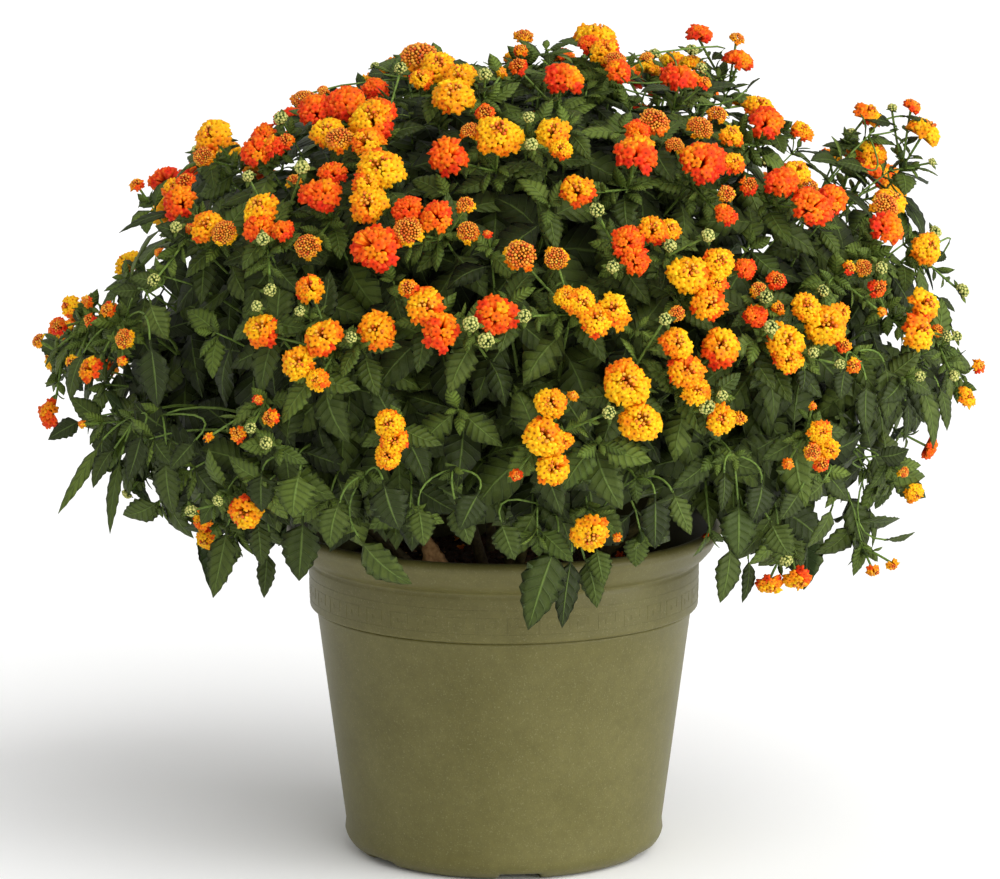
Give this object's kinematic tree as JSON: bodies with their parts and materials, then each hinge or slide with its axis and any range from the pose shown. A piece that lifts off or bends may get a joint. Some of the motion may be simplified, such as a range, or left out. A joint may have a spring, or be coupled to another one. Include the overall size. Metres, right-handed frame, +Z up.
{
  "type": "potted lantana",
  "caption": "Rounded flowering lantana shrub with toothed leaves and domed gold to red flower heads, in an olive plastic pot with a rolled lip.",
  "frame": {"origin": "middle of the pot's foot, on the surface that the pot stands on", "axes": "+Z up along the pot's axis, front of the plant towards -Y, the plant's widest reach along X"},
  "size_m": [0.649, 0.589, 0.5849],
  "materials": {
    "olive_plastic": "matt moulded polypropylene",
    "potting_soil": "damp crumbly potting mix",
    "lantana_green": "rough leaf and stem",
    "gold_florets": "soft petal",
    "amber_florets": "soft petal",
    "flame_florets": "soft petal"
  },
  "bodies": {
    "root": {"pot": "olive_plastic", "soil": "potting_soil", "leafy_stem_01": "lantana_green", "leafy_stem_02": "lantana_green", "leafy_stem_03": "lantana_green", "leafy_stem_04": "lantana_green", "leafy_stem_05": "lantana_green", "leafy_stem_06": "lantana_green", "leafy_stem_07": "lantana_green", "leafy_stem_08": "lantana_green", "leafy_stem_09": "lantana_green", "leafy_stem_10": "lantana_green", "leafy_stem_11": "lantana_green", "bloom_bunch_01": "gold_florets", "bloom_bunch_02": "flame_florets", "bloom_bunch_03": "flame_florets", "bloom_bunch_04": "flame_florets", "bloom_bunch_05": "amber_florets", "bloom_bunch_06": "flame_florets", "bloom_bunch_07": "amber_florets", "bloom_bunch_08": "gold_florets", "bloom_bunch_09": "gold_florets", "bloom_bunch_10": "gold_florets", "bloom_bunch_11": "flame_florets", "bloom_bunch_12": "amber_florets", "bloom_bunch_13": "amber_florets", "bloom_bunch_14": "gold_florets", "bloom_bunch_15": "gold_florets", "bloom_bunch_16": "gold_florets", "bloom_bunch_17": "flame_florets", "bloom_bunch_18": "gold_florets", "bloom_bunch_19": "flame_florets", "bloom_bunch_20": "gold_florets", "bloom_bunch_21": "flame_florets", "bloom_bunch_22": "flame_florets", "bloom_bunch_23": "flame_florets", "bloom_bunch_24": "flame_florets", "bloom_bunch_25": "flame_florets", "bloom_bunch_26": "gold_florets", "bloom_bunch_27": "flame_florets", "bloom_bunch_28": "gold_florets", "bloom_bunch_29": "gold_florets", "bloom_bunch_30": "amber_florets", "bloom_bunch_31": "gold_florets", "bloom_bunch_32": "gold_florets", "bloom_bunch_33": "gold_florets", "bloom_bunch_34": "gold_florets", "bloom_bunch_35": "gold_florets", "bloom_bunch_36": "gold_florets", "bloom_bunch_37": "amber_florets", "bloom_bunch_38": "gold_florets", "bloom_bunch_39": "flame_florets", "bloom_bunch_40": "gold_florets", "bloom_bunch_41": "gold_florets", "bloom_bunch_42": "gold_florets", "bloom_bunch_43": "gold_florets", "bloom_bunch_44": "amber_florets", "bloom_bunch_45": "flame_florets", "bloom_bunch_46": "flame_florets", "bloom_bunch_47": "flame_florets"}
  },
  "joints": []
}
